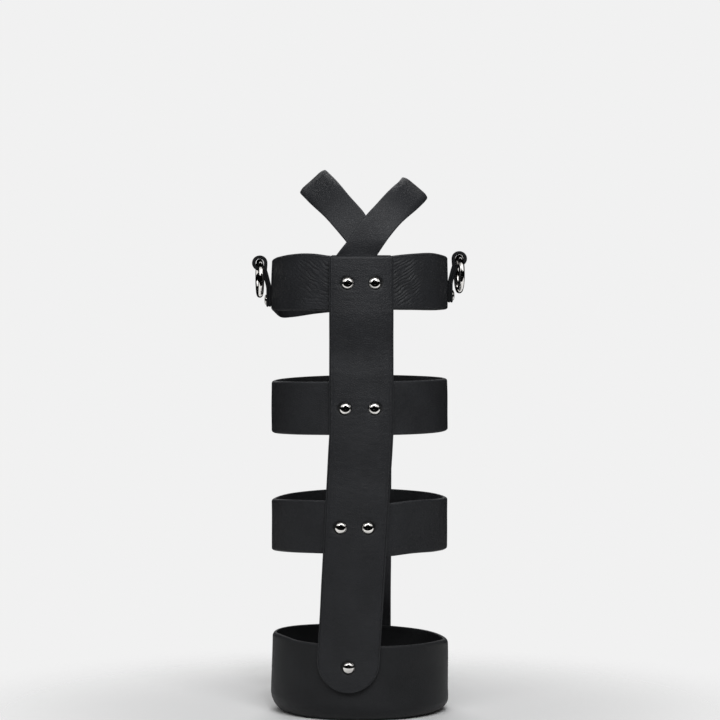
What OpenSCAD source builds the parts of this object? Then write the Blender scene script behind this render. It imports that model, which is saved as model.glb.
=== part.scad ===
// Leather bottle carrier: three bands and a moulded base cup riveted between two
// long panels, with two crossed shoulder straps and a ring on each side.
// The origin is the middle of the cup's underside; the front faces -Y.

/* [Bottle bay] */
// Inner radius of the bands and of the cup's wall
bay_r = 38.5; // [30:0.5:60]
// Thickness of the bands, panels and shoulder straps
leather_t = 2.1; // [1.6:0.1:3]
// Gap left between two layers of leather
layer_gap = 0.1; // [0.05:0.05:0.2]

/* [Bands] */
// Width of each band
band_w = 24; // [18:1:32]
// Height of the upper band's lower edge
upper_band_z = 186; // [180:1:240]
// Drop from the upper band to the middle band
middle_band_drop = 56.4; // [44:0.2:66]
// Drop from the middle band to the lower band
lower_band_drop = 53.6; // [40:0.2:64]
// Opening of the butt seam where a band's two ends meet
band_seam_gap = 0.8; // [0.4:0.2:2]

/* [Base cup] */
// Height of the cup's rim on its axis
cup_h = 34.4; // [28:0.2:50]
// Slant of the cup's rim, its left side standing higher
cup_rim_slant = 1.84; // [0:0.02:3]
// Thickness of the cup's wall at the rim
cup_rim_t = 2; // [1.6:0.1:3]
// Thickness of the cup's wall just above the heel
cup_heel_t = 2.5; // [2:0.1:3.5]
// Thickness of the cup's floor
cup_floor_t = 2.5; // [2:0.1:4]
// Outer radius of the moulded heel
cup_heel_r = 7.4; // [5:0.2:10]

/* [Panels] */
// Width of the front and back panels
panel_w = 28; // [24:0.5:36]
// Width of a panel just above its round end
panel_foot_w = 27.2; // [22:0.1:34]
// Height of the lowest point of a panel's round end
panel_end_z = 13.5; // [11:0.1:20]
// Sideways place of the panels at the top
panel_x = 0.8; // [-2:0.1:2]
// Lean of the front panel below its straight upper half, in degrees
panel_lean_angle = 3.15; // [0:0.05:4]
// Height below which the front panel leans
panel_lean_z = 130; // [112:1:150]
// Length over which a panel comes in from the strap ends to the bands
panel_step_h = 19; // [12:1:30]

/* [Rivets] */
// Radius of a rivet's domed cap
cap_r = 2.7; // [2.2:0.1:3.5]
// Height of the cap's dome over its rim
cap_dome_h = 0.9; // [0.5:0.1:1.6]
// Height of the cap's rim
cap_rim_h = 0.4; // [0.2:0.1:0.8]
// Radius of a rivet's post
post_r = 1.5; // [1:0.1:2]
// Radial play of the posts in their holes
post_play = 0.1; // [0.05:0.05:0.2]
// Distance between the two rivets of a pair
rivet_pitch = 12.4; // [10:0.2:16]
// How much wider the front's middle pair is set
middle_pair_spread = 0.9; // [0:0.1:2]
// Sideways place of the front's middle pair off the panel's middle line
middle_pair_shift = -0.6; // [-1:0.1:1]
// Sideways place of the front's lower pair off the panel's middle line
lower_pair_shift = -0.8; // [-1:0.1:1]
// Height of the single rivet in the cup
cup_rivet_z = 24.9; // [22:0.1:28]
// Thickness of the washer under a rivet's inner end
washer_t = 0.7; // [0.5:0.1:1]

/* [Shoulder straps] */
// Width of each shoulder strap
strap_w = 15; // [10:0.5:18]
// How much wider a shoulder strap's arch is than the bay, at its inner radius
strap_play = 0.1; // [0:0.05:1]
// Slope of the right strap's arch, in degrees
right_slope_angle = 51.3; // [46:0.1:56]
// Slope of the left strap's arch, in degrees
left_slope_angle = 48; // [44:0.1:54]
// Sideways place of the right strap's middle line at the bottle's shoulder line
right_shift = -0.3; // [-1:0.05:0.5]
// Sideways place of the left strap's middle line at the bottle's shoulder line
left_shift = 6.95; // [6:0.05:8]
// Height of the bottle's shoulder line above the upper band
shoulder_rise = 0.8; // [0:0.1:3]
// Gap between the arches and the top edges of the panels
strap_foot_gap = 0.5; // [0.4:0.1:1]

/* [Side rings] */
// Outer diameter of a ring
ring_od = 18; // [16:0.5:26]
// Diameter of the ring's wire
ring_wire = 2.8; // [2:0.1:3.5]
// Thickness of a keeper's leather
keeper_t = 1.1; // [0.9:0.1:1.6]
// Width of a keeper
keeper_w = 7; // [5:0.5:8]
// Height of the right keeper's lower end above the upper band's lower edge
right_keeper_rise = 2.4; // [0:0.2:4]
// Height of the left keeper's lower end above the upper band's lower edge
left_keeper_rise = 0.4; // [0:0.2:4]
// Length of a keeper from its lower end to the ring's swing axis
keeper_len = 20.2; // [17:0.5:26]
// Distance of the swing axis from the upper band
ring_standoff = 5.4; // [5:0.1:8]
// Play of the ring's wire in the keeper's fold
fold_play = 0.25; // [0.1:0.05:0.4]

/* [Hidden] */
$fn = 96;

leather = "#34363b";
cup_leather = "#2f3136";
nickel = "#c9c8c4";

// Overrun of a cutting shape past the surface that it cuts
cut_over = 1;
// Seat left under a rivet's cap and inside a washer's recess
seat_gap = 0.05;

band_out_r = bay_r + leather_t;
middle_band_z = upper_band_z - middle_band_drop;
lower_band_z = middle_band_z - lower_band_drop;
upper_top_z = upper_band_z + band_w;
hole_r = post_r + post_play;
washer_r = cap_r;

// Strap ends lie on the band, and a panel's top lies on the strap ends
ends_in_r = band_out_r + layer_gap;
ends_out_r = ends_in_r + leather_t;
panel_top_in_r = ends_out_r + layer_gap;
panel_low_in_r = band_out_r + layer_gap;
reach = 2 * (panel_top_in_r + leather_t);
cut_r = 5 * leather_t;

function side_sign(front) = front ? -1 : 1;
function lean(front) = front ? panel_lean_angle : 0;
function cup_out_r(z) = bay_r + cup_heel_t
    + (cup_rim_t - cup_heel_t) * (z - cup_heel_r) / (cup_h - cup_heel_r);

// Heights at which a panel starts and ends its step over the strap ends
step_top_z = upper_band_z - layer_gap;
step_low_z = step_top_z - panel_step_h;

// Inner radius of a panel where it follows the cup
panel_cut_z = panel_end_z - cut_over;
function panel_in_r(z) = panel_low_in_r + (cup_out_r(panel_cut_z) + layer_gap - panel_low_in_r)
    * (cup_h - z) / (cup_h - panel_cut_z);

// Sideways place of a panel's middle line at a height
function panel_mid(z, lean) = panel_x - max(0, panel_lean_z - z) * tan(lean);

// Rivet places as [x, z, radius of the surface under the cap]
function pair(band_z, seat_r, front, spread, shift) = [
    for (side = [-1, 1]) [
        panel_mid(band_z + band_w / 2, lean(front)) + shift + side * (rivet_pitch + spread) / 2,
        band_z + band_w / 2, seat_r
    ]
];
function upper_places(front) = pair(upper_band_z, panel_top_in_r + leather_t, front, 0, 0);
function middle_places(front) = pair(
    middle_band_z, panel_low_in_r + leather_t, front,
    front ? middle_pair_spread : 0, front ? middle_pair_shift : 0
);
function lower_places(front) = pair(
    lower_band_z, panel_low_in_r + leather_t, front, 0, front ? lower_pair_shift : 0
);
function cup_place(front) = [[
    panel_mid(cup_rivet_z, lean(front)), cup_rivet_z,
    panel_in_r(cup_rivet_z - cap_r) + leather_t
]];
function all_places(front) = concat(
    upper_places(front), middle_places(front), lower_places(front), cup_place(front)
);

// Carries a front-view outline through the whole depth, or through one half of it
module through_depth() {
    rotate([90, 0, 0]) linear_extrude(2 * reach, center = true) children();
}
module through_half(front) {
    translate([0, side_sign(front) * reach / 2, 0])
        rotate([90, 0, 0]) linear_extrude(reach, center = true) children();
}

// Puts a shape that points along +Z at a place, pointing straight out of the bay
module outward_at(place, front) {
    turn = asin(place[0] / place[2]);
    translate([0, 0, place[1]]) rotate([0, 0, front ? turn : 180 - turn])
        rotate([90, 0, 0]) children();
}

module ring_wall(in_r, out_r, z, h) {
    translate([0, 0, z]) difference() {
        cylinder(r = out_r, h = h);
        translate([0, 0, -cut_over]) cylinder(r = in_r, h = h + 2 * cut_over);
    }
}

// Tools that cut a post's hole through every layer, and a washer's recess
module post_hole() {
    translate([0, 0, bay_r - cut_r]) cylinder(r = hole_r, h = 2 * cut_r);
}
module washer_recess() {
    translate([0, 0, bay_r - cut_r])
        cylinder(r = washer_r + post_play, h = cut_r + washer_t + 2 * seat_gap);
}

module post_holes(places, front) {
    for (place = places) outward_at(place, front) post_hole();
}

module washer_recesses(places, front) {
    for (place = places) outward_at(place, front) washer_recess();
}

// Rivet with a low dome: cap on the panel, its post ending just below the washer's face
module rivet(seat_r, rim_r, dome_h, rim_h) {
    dome_r = (rim_r * rim_r + dome_h * dome_h) / (2 * dome_h);
    translate([0, 0, seat_r + seat_gap]) {
        cylinder(r = rim_r, h = rim_h);
        intersection() {
            cylinder(r = rim_r, h = rim_h + dome_h);
            translate([0, 0, rim_h + dome_h - dome_r]) sphere(r = dome_r);
        }
    }
    translate([0, 0, bay_r + 2 * seat_gap])
        cylinder(r = post_r, h = seat_r - bay_r);
}

module washer() {
    translate([0, 0, bay_r + seat_gap]) difference() {
        cylinder(r = washer_r, h = washer_t);
        translate([0, 0, -cut_over]) cylinder(r = hole_r, h = washer_t + 2 * cut_over);
    }
}

module rivets(places, front) {
    for (place = places) outward_at(place, front)
        rivet(place[2], cap_r, cap_dome_h, cap_rim_h);
}

module washers(places, front) {
    for (place = places) outward_at(place, front) washer();
}

// Long panels
module panel_section() {
    cup_r = panel_in_r(panel_cut_z);
    polygon([
        [cup_r, panel_cut_z], [panel_low_in_r, cup_h], [panel_low_in_r, step_low_z],
        [panel_top_in_r, step_top_z], [panel_top_in_r, upper_top_z],
        [panel_top_in_r + leather_t, upper_top_z], [panel_top_in_r + leather_t, step_top_z],
        [panel_low_in_r + leather_t, step_low_z], [panel_low_in_r + leather_t, cup_h],
        [cup_r + leather_t, panel_cut_z]
    ]);
}

// Strip with a round lower end, its sides mitred where it starts to lean
module panel_outline(lean) {
    side = panel_w / 2;
    foot = panel_foot_w / 2;
    end_z = panel_end_z + foot;
    end_x = panel_mid(end_z, lean);
    mitre = side * tan(lean / 2);
    polygon([
        [end_x - foot * cos(lean), end_z + foot * sin(lean)],
        [end_x + foot * cos(lean), end_z - foot * sin(lean)],
        [panel_x + side, panel_lean_z - mitre], [panel_x + side, upper_top_z],
        [panel_x - side, upper_top_z], [panel_x - side, panel_lean_z + mitre]
    ]);
    translate([end_x, end_z]) rotate(-lean) circle(r = foot - seat_gap);
}

module panel(front) {
    difference() {
        intersection() {
            rotate_extrude() panel_section();
            through_half(front) panel_outline(lean(front));
        }
        post_holes(all_places(front), front);
    }
}

module front_panel() { color(leather) panel(true); }
module back_panel() { color(leather) panel(false); }

// Bands, each one strip with a butt seam under the front panel
module band(z, front_places, back_places) {
    difference() {
        ring_wall(bay_r, band_out_r, z, band_w);
        translate([
            (front_places[0][0] + front_places[1][0] - band_seam_gap) / 2,
            -band_out_r - cut_over, z - cut_over
        ])
            cube([band_seam_gap, bay_r, band_w + 2 * cut_over]);
        post_holes(front_places, true);
        post_holes(back_places, false);
        washer_recesses(front_places, true);
        washer_recesses(back_places, false);
        children();
    }
}

module upper_band() {
    color(leather) band(upper_band_z, upper_places(true), upper_places(false))
        keeper_holes();
}
module middle_band() {
    color(leather) band(middle_band_z, middle_places(true), middle_places(false));
}
module lower_band() {
    color(leather) band(lower_band_z, lower_places(true), lower_places(false));
}

// Base cup, moulded in one piece
module cup_section(out_r_low, out_r_top, heel_r, floor_z, top_z) {
    translate([0, floor_z]) square([out_r_low - heel_r, heel_r]);
    intersection() {
        translate([out_r_low - heel_r, floor_z + heel_r]) circle(r = heel_r);
        translate([0, floor_z]) square([out_r_low, heel_r]);
    }
    polygon([
        [0, floor_z + heel_r], [out_r_low, floor_z + heel_r], [out_r_top, top_z], [0, top_z]
    ]);
}

module base_cup() {
    top_z = cup_h + band_out_r * tan(cup_rim_slant) + cut_over;
    color(cup_leather) difference() {
        rotate_extrude()
            cup_section(bay_r + cup_heel_t, cup_out_r(top_z), cup_heel_r, 0, top_z);
        rotate_extrude()
            cup_section(bay_r, bay_r, cup_heel_r - cup_heel_t, cup_floor_t, top_z + cut_over);
        translate([0, 0, cup_h]) rotate([0, cup_rim_slant, 0])
            translate([-reach, -reach, 0]) cube([2 * reach, 2 * reach, reach]);
        post_holes(cup_place(true), true);
        post_holes(cup_place(false), false);
        washer_recesses(cup_place(true), true);
        washer_recesses(cup_place(false), false);
    }
}

// Riveted ends of the shoulder straps, side by side between band and panel
ends_inset = 1;
ends_low_z = upper_band_z + band_w / 2 - 2.6 * cap_r;
module strap_ends(side, hole_place) {
    for (front = [true, false]) difference() {
        intersection() {
            ring_wall(ends_in_r, ends_out_r, ends_low_z, upper_top_z - ends_low_z);
            through_half(front) translate([
                panel_x + (side > 0 ? layer_gap : ends_inset - panel_w / 2), ends_low_z
            ])
                square([panel_w / 2 - ends_inset - layer_gap, upper_top_z - ends_low_z]);
        }
        post_holes([hole_place], front);
    }
}

module right_strap_ends() { color(leather) strap_ends(-1, upper_places(false)[0]); }
module left_strap_ends() { color(leather) strap_ends(1, upper_places(false)[1]); }

// Shoulder straps
shoulder_z = upper_top_z + shoulder_rise;
foot_z = upper_top_z + strap_foot_gap;
strap_bay_r = bay_r + strap_play;
strap_out_r = strap_bay_r + leather_t;
// The right strap passes outside the left one, so its feet stand further out
right_half_in = strap_out_r + leather_t;
// Squareness of the right arch, which keeps it clear of the left one where they cross
right_arch_share = 2.7;
arch_steps = 48;

// Centre of an arch in the front view as [x, z], nearest the bay's axis on its middle line
function arch_centre(shift, slope, side) = [
    shift * pow(sin(slope), 2), shoulder_z - side * shift * sin(slope) * cos(slope)
];
right_centre = arch_centre(right_shift, right_slope_angle, 1);
left_centre = arch_centre(left_shift, left_slope_angle, -1);

function arch_point(turn, high, wide, share) = [
    high * pow(abs(sin(turn)), 2 / share),
    wide * sign(cos(turn)) * pow(abs(cos(turn)), 2 / share)
];
function arch_line(high, wide, share, foot) = concat(
    [[-foot, wide]],
    [for (i = [0:arch_steps]) arch_point(180 * i / arch_steps, high, wide, share)],
    [[-foot, -wide]]
);

// Flat strip bent in its own plane; x runs up the arch and y across the bottle
module arch(high, wide, share) {
    foot = strap_bay_r / 2;
    linear_extrude(strap_w, center = true) difference() {
        polygon(arch_line(high + leather_t, wide + leather_t, share, foot));
        polygon(arch_line(high, wide, share, foot + cut_over));
    }
}

// Lays the strip's plane at its slope through its centre, to the right or the left
module sloped(centre, slope, side) {
    translate([centre[0], 0, centre[1]])
        mirror([side > 0 ? 0 : 1, 0, 0]) rotate([0, -slope, 0]) children();
}

module above_feet() {
    translate([-2 * reach, -reach, foot_z]) cube([4 * reach, 2 * reach, 2 * reach]);
}

module right_shoulder_strap() {
    color(leather) intersection() {
        sloped(right_centre, right_slope_angle, 1)
            arch(strap_bay_r, right_half_in, right_arch_share);
        above_feet();
    }
}

// The left strap's hidden corner is trimmed along the right strap's lower edge
module left_shoulder_strap() {
    color(leather) difference() {
        intersection() {
            sloped(left_centre, left_slope_angle, -1) arch(strap_bay_r, strap_bay_r, 2);
            above_feet();
        }
        sloped(right_centre, right_slope_angle, 1)
            translate([-reach, -reach, -strap_w / 2 - reach + ends_inset])
            cube([2 * reach, 2 * reach, reach]);
    }
}

// Side rings and their keepers
swing_r = band_out_r + ring_standoff;
right_keeper_z = upper_band_z + right_keeper_rise;
left_keeper_z = upper_band_z + left_keeper_rise;
ring_mid_r = (ring_od - ring_wire) / 2;
// Highest and lowest reach of the curved wire over the ring's centre inside the fold
wire_high = ring_od / 2;
wire_low = sqrt(pow(ring_od / 2 - ring_wire, 2) - pow(keeper_w / 2, 2));
fold_bore_r = (wire_high - wire_low) / 2 + fold_play;
fold_r = fold_bore_r + keeper_t;
keeper_in_r = band_out_r + layer_gap;
tab_out_r = keeper_in_r + 2 * keeper_t;
keeper_rivet_rise = 3.3;
keeper_cap_r = 2.4;
keeper_cap_h = 0.4;

module keeper_section(z) {
    axis_z = z + keeper_len;
    lean_z = axis_z - 2 * fold_r;
    difference() {
        union() {
            polygon([
                [keeper_in_r, z], [tab_out_r, z], [tab_out_r, lean_z],
                [swing_r + fold_r * cos(40), axis_z - fold_r * sin(40)],
                [swing_r - fold_r * cos(10), axis_z + fold_r * sin(10)],
                [keeper_in_r, lean_z]
            ]);
            translate([swing_r, axis_z]) circle(r = fold_r);
        }
        translate([swing_r, axis_z]) circle(r = fold_bore_r);
    }
}

module keeper(z) {
    difference() {
        rotate([90, 0, 0]) linear_extrude(keeper_w, center = true) keeper_section(z);
        translate([0, 0, z + keeper_rivet_rise]) rotate([0, 90, 0]) post_hole();
    }
}

// Holes of the keeper rivets in the upper band
module keeper_holes() {
    for (side = [[0, right_keeper_z], [180, left_keeper_z]])
        rotate([0, 0, side[0]]) translate([0, 0, side[1] + keeper_rivet_rise])
            rotate([0, 90, 0]) {
                post_hole();
                washer_recess();
            }
}

module keeper_rivet(z) {
    translate([0, 0, z + keeper_rivet_rise]) rotate([0, 90, 0])
        rivet(tab_out_r, keeper_cap_r, keeper_cap_h, cap_rim_h);
}

module ring(z) {
    translate([swing_r, 0, z + keeper_len - (wire_high + wire_low) / 2])
        rotate([0, 90, 0]) rotate_extrude()
        translate([ring_mid_r, 0]) circle(r = ring_wire / 2, $fn = 48);
}

module right_ring_keeper() { color(leather) keeper(right_keeper_z); }
module left_ring_keeper() { color(leather) rotate([0, 0, 180]) keeper(left_keeper_z); }
module right_ring() { color(nickel) ring(right_keeper_z); }
module left_ring() { color(nickel) rotate([0, 0, 180]) ring(left_keeper_z); }
module right_keeper_rivet() { color(nickel) keeper_rivet(right_keeper_z); }
module left_keeper_rivet() { color(nickel) rotate([0, 0, 180]) keeper_rivet(left_keeper_z); }

// Rivets and washers by place
module front_upper_rivets() { color(nickel) rivets(upper_places(true), true); }
module front_middle_rivets() { color(nickel) rivets(middle_places(true), true); }
module front_lower_rivets() { color(nickel) rivets(lower_places(true), true); }
module front_cup_rivet() { color(nickel) rivets(cup_place(true), true); }
module back_upper_rivets() { color(nickel) rivets(upper_places(false), false); }
module back_middle_rivets() { color(nickel) rivets(middle_places(false), false); }
module back_lower_rivets() { color(nickel) rivets(lower_places(false), false); }
module back_cup_rivet() { color(nickel) rivets(cup_place(false), false); }

module upper_band_washers() {
    color(nickel) { washers(upper_places(true), true); washers(upper_places(false), false); }
}
module middle_band_washers() {
    color(nickel) { washers(middle_places(true), true); washers(middle_places(false), false); }
}
module lower_band_washers() {
    color(nickel) { washers(lower_places(true), true); washers(lower_places(false), false); }
}
module cup_washers() {
    color(nickel) { washers(cup_place(true), true); washers(cup_place(false), false); }
}
module keeper_washers() {
    color(nickel) for (side = [[0, right_keeper_z], [180, left_keeper_z]])
        rotate([0, 0, side[0]]) translate([0, 0, side[1] + keeper_rivet_rise])
            rotate([0, 90, 0]) washer();
}

front_panel();
back_panel();
upper_band();
middle_band();
lower_band();
base_cup();
right_shoulder_strap();
left_shoulder_strap();
right_strap_ends();
left_strap_ends();
right_ring_keeper();
left_ring_keeper();
right_ring();
left_ring();
front_upper_rivets();
front_middle_rivets();
front_lower_rivets();
front_cup_rivet();
back_upper_rivets();
back_middle_rivets();
back_lower_rivets();
back_cup_rivet();
right_keeper_rivet();
left_keeper_rivet();
upper_band_washers();
middle_band_washers();
lower_band_washers();
cup_washers();
keeper_washers();
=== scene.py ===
"""Leather bottle carrier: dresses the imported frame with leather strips, a moulded cup,
rings and rivets, and sets the studio round it."""

import math

import bmesh
import bpy
import numpy as np
from bpy.props import FloatProperty, FloatVectorProperty, IntProperty, PointerProperty
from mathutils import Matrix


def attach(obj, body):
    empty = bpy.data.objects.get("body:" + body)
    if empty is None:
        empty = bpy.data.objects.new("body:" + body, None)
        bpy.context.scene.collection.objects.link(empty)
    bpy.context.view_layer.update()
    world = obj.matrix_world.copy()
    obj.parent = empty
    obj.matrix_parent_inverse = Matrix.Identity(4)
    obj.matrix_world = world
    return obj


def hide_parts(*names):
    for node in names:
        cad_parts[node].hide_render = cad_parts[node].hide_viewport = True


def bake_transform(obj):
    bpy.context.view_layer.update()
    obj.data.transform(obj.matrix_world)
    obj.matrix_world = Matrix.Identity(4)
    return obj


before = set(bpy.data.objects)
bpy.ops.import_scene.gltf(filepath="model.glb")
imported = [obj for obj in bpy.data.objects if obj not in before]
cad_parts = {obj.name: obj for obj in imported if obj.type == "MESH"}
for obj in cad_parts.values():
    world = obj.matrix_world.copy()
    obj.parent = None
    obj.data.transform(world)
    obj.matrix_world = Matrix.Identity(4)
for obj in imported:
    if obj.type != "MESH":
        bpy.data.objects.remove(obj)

bl_info = {
    "name": "Leather Bottle Carrier",
    "version": (1, 0, 0),
    "blender": (4, 5, 0),
    "location": "3D View > Sidebar > Bottle Carrier",
    "description": "Builds a banded leather bottle carrier with a moulded cup and rings",
    "category": "Add Mesh",
}

MM = 0.001
TURN = 2 * math.pi
SIDES = (("right", 1), ("left", -1))

# Sizes that follow the frame: bands by their low edges
BAY_R = 38.5
LEATHER = 2.1
LAYER_GAP = 0.1
BAND_OUT_R = BAY_R + LEATHER
ENDS_MID_R = BAND_OUT_R + LAYER_GAP + LEATHER / 2
PANEL_LOW_R = BAND_OUT_R + LAYER_GAP
PANEL_TOP_R = BAND_OUT_R + 2 * LAYER_GAP + LEATHER
BANDS = {"upper_band": 186.0, "middle_band": 129.6, "lower_band": 76.0}
BAND_W = 24.0
TOP_Z = 210.0
PANEL_X = 0.8
PANEL_HALF = 14.0
FOOT_HALF = 13.6
PANEL_END_Z = 13.5
LEAN_Z = 130.0
LEAN = math.radians(3.15)
CUP_H = 34.4
CUP_SLANT = math.tan(math.radians(1.84))
CUP_FLOOR = 2.5
CUP_HEEL = 7.4
CUP_INNER_HEEL = 4.9
CUP_RIVET_Z = 24.9
CUP_SEAT_R = 40.87
RING_X = 46.0
RING_MID = 7.6
RING_WIRE = 1.4
RING_DROP = 7.0588
SWING_Z = {"right": 208.6, "left": 206.6}
KEEPER_LOW = {"right": 188.4, "left": 186.4}
KEEPER_RIVET_RISE = 3.3
KEEPER_HALF = 3.5
KEEPER_SEAT_X = 42.95

# Rivets: half the distance of a pair, caps as (radius, dome, rim), and how much wider and
# further right each of the front panel's pairs stands
RIVET_STEP = 6.2
CAP = (2.7, 0.95, 0.45)
KEEPER_CAP = (2.4, 0.5, 0.4)
PAIR_PLACES = {"upper_band": (0.0, 0.0), "middle_band": (0.9, -0.6), "lower_band": (0.0, -0.8)}

# Shapes of the worn leather
END_ROUND = 0.4
FLESH_ROUND = 0.35
RING_TURN = math.radians(7.0)

# Low and top edge of each band and the cup's rim: degrees round from the front,
# rightwards, and how many millimetres the edge lies off the level there
MIDDLE_AT = (-180, -120, -85, -50, -20, 20, 45, 90, 130)
LOWER_EDGE = (
    (-180, -130, -90, -70, -50, -24, 18, 35, 60, 90, 130),
    (-0.8, -1.6, -2.2, -1.4, -0.7, -0.1, -1.3, -0.55, -0.9, -1.5, -1.2),
)
BAND_EDGES = {
    "upper_band": (
        ((-180, -150, -125, -112, -99, -90, -63, -41, -21, 21, 27, 42, 65, 90, 120, 150),
         (-2.0, -3.5, -5.0, -4.9, -2.3, -1.3, -1.1, -0.75, -0.9, -0.15, -0.25, -0.4, -0.7, -0.9,
          -1.7, -1.8)),
        ((-180, -150, -125, -112, -100, -90, -83, -77, -72, -64, -51, -39, -30, -21, 0, 21, 30,
          42, 54, 66, 77, 90, 120, 150),
         (-1.0, -2.6, -4.0, -4.0, -3.2, -1.8, -1.4, -1.0, -0.6, -0.1, 0.75, 1.2, 1.0, 0.25, 0.0,
          0.1, 0.7, 1.2, 1.4, 0.8, 0.2, -0.3, -1.0, -1.0)),
    ),
    "middle_band": (
        (MIDDLE_AT, (-0.4, -1.0, -1.2, -0.6, -0.1, -0.1, -0.2, -0.35, -0.4)),
        (MIDDLE_AT, (-0.4, -1.0, -1.2, -0.6, -0.1, 0.1, 0.1, -0.15, -0.3)),
    ),
    "lower_band": (LOWER_EDGE, LOWER_EDGE),
}
CUP_RIM = (
    (-180, -130, -90, -65, -57, -50, -35, -20, 15, 34, 50, 65, 90, 130),
    (0.0, 0.1, 0.3, 0.9, 0.6, 0.15, -0.05, 0.1, 0.15, 0.3, 0.5, 0.5, -0.3, 0.0),
)

# Wrinkled places beside the panel as (middle, half width) in degrees from the front, and
# the furrows there as (slope in degrees, spacing, seed)
LEFT_WRINKLES, RIGHT_WRINKLES, RIPPLES = (-31, 14), (32, 13), (33, 12)
RISING, FALLING, LEVEL = (28, 1.5, 11), (-33, 1.75, 14), (-4, 1.8, 17)

# Shoulder straps: point of the middle line near the panel's top and slope in the front
# view, side that the strap leans to, depth of the arch's middle surface at its foot, reach
# of the arch, its power, the hidden end's edges, half widths low and high, and the bow of
# the middle line at a distance along it
STRAPS = {
    "right": dict(
        centre=(-0.183, 210.946), slope=51.3, side=1, mid=42.9, apex=39.65, power=2.7,
        root=(-12.2, 0.6), half=(7.4, 6.7),
        bow=lambda s: 0.25 + 1.5 * np.sin(math.pi * np.clip(s / 37, 0, 1)) - 1.3 * ease(s / 40),
    ),
    "left": dict(
        centre=(3.838, 214.256), slope=48.0, side=-1, mid=39.65, apex=39.2, power=2.0,
        root=(1.0, 13.8), half=(7.4, 7.2),
        bow=lambda s: 1.14 + 0.6 * np.sin(math.pi * np.clip(s / 40, 0, 1)),
    ),
}
STRAP_LOW_Z = 191.0
STRAP_LIFT_Z = 210.6
BEHIND_CROSSING = (6.9, STRAP_LIFT_Z)

# Lamps as name, place, aim, size, watts, colour and, for a spot, its cone in degrees
COOL, WHITE = (0.98, 0.99, 1.0), (1, 1, 1)
LAMPS = (
    ("key_lamp", (0.2, -0.85, 0.9), (0, 0, 0.16), 0.6, 7.0, COOL, None),
    ("top_spot", (0.15, -1.2, 1.05), (0, 0, 0.27), 0.12, 42.0, COOL, 16),
    ("fill_lamp", (-0.4, -0.95, 0.8), (0, 0, 0.16), 0.6, 3.5, WHITE, None),
    ("back_lamp", (-0.1, 1.1, 1.1), (0, 0, 0.12), 0.9, 9.0, WHITE, None),
)
CAMERA_LENS = 151.7
CAMERA_PLACE = (0.00023, -1.4, 0.2172)
CAMERA_DIP = 2.265


# Curves and meshes


def ease(t):
    """Cubic step from 0 to 1 with level ends: 3t^2 - 2t^3 of t held between 0 and 1."""
    t = np.clip(t, 0.0, 1.0)
    return t * t * (3 - 2 * t)


def waves(x, y, length, seed, count=20):
    """Smooth uneven field: a sum of sine waves whose lengths lie round one length, with
    seeded directions and phases, divided to a deviation of about 1."""
    draw = np.random.default_rng(seed)
    angle = draw.uniform(-math.pi, math.pi, count)
    size = length * draw.uniform(0.65, 1.5, count)
    phase = draw.uniform(0, TURN, count)
    total = np.zeros(np.broadcast(x, y).shape)
    for a, s, p in zip(angle, size, phase):
        total += np.sin(TURN * (x * math.cos(a) + y * math.sin(a)) / s + p)
    return total / math.sqrt(count / 2)


def cubic(t, p, leave, q, arrive):
    """Cubic from p at t = 0 to q at t = 1 with the given slopes at its ends."""
    return (
        (2 * t**3 - 3 * t**2 + 1) * p + (t**3 - 2 * t**2 + t) * leave
        + (3 * t**2 - 2 * t**3) * q + (t**3 - t**2) * arrive
    )


def bridge(p, leave, q, arrive, count):
    """Cubic curve from p to q that leaves along one tangent and arrives along the other."""
    p, leave, q, arrive = (np.asarray(v, float) for v in (p, leave, q, arrive))
    return cubic(np.linspace(0, 1, count)[:, None], p, leave, q, arrive)


def through(turn, degrees, offsets):
    """Smooth closed curve round the bay: cubic spans through offsets given at angles in
    degrees (0 in front, rightwards), with the mean slope of the two neighbours at each."""
    at = np.radians(np.asarray(degrees, float))
    at = np.concatenate([at - TURN, at, at + TURN])
    value = np.tile(np.asarray(offsets, float), 3)
    slope = np.gradient(value, at)
    turn = (np.asarray(turn) + math.pi) % TURN - math.pi
    i = np.clip(np.searchsorted(at, turn, side="right") - 1, 0, len(at) - 2)
    span = at[i + 1] - at[i]
    t = (turn - at[i]) / span
    return cubic(t, value[i], span * slope[i], value[i + 1], span * slope[i + 1])


def full_turn(count):
    """Even steps of one full turn in radians."""
    return np.linspace(0, TURN, count, endpoint=False)


def stations(start, end, count, busy):
    """Values from start to end, four times closer together where busy(value) is 1."""
    even = np.linspace(start, end, 4000)
    dense = 1 + 3 * busy(even)
    total = np.concatenate([[0], np.cumsum((dense[1:] + dense[:-1]) / 2)])
    return np.interp(np.linspace(0, total[-1], count), total, even)


def furrows(along, across, slope, spacing, seed):
    """Fine parallel wrinkles at a slope in degrees: a sine of the distance across them with
    a sharper crest, bent and here and there faded out by slow waves."""
    slope = math.radians(slope)
    run = along * math.cos(slope) + across * math.sin(slope)
    over = across * math.cos(slope) - along * math.sin(slope)
    phase = TURN * (over + 0.16 * waves(run, over, 8.0, seed)) / spacing
    phase = phase + 0.9 * waves(run / 2, over, 5.0, seed + 1)
    fold = np.sin(phase) + 0.3 * np.sin(2 * phase + 0.6)
    return fold * (0.55 + 0.45 * np.tanh(1.5 * waves(run / 2.2, over, 3.2, seed + 2) + 0.5))


def unit(v):
    """Each row of v divided by its length."""
    return v / np.maximum(np.linalg.norm(v, axis=-1, keepdims=True), 1e-12)


def outwards(grid, way):
    """Unit normals of a grid of points, the cross product of its two directions, turned to
    the side of way."""
    out = unit(np.cross(np.gradient(grid, axis=0), np.gradient(grid, axis=1)))
    flip = np.sign(np.sum(out * way, axis=-1, keepdims=True))
    return out * np.where(flip == 0, 1, flip)


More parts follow.
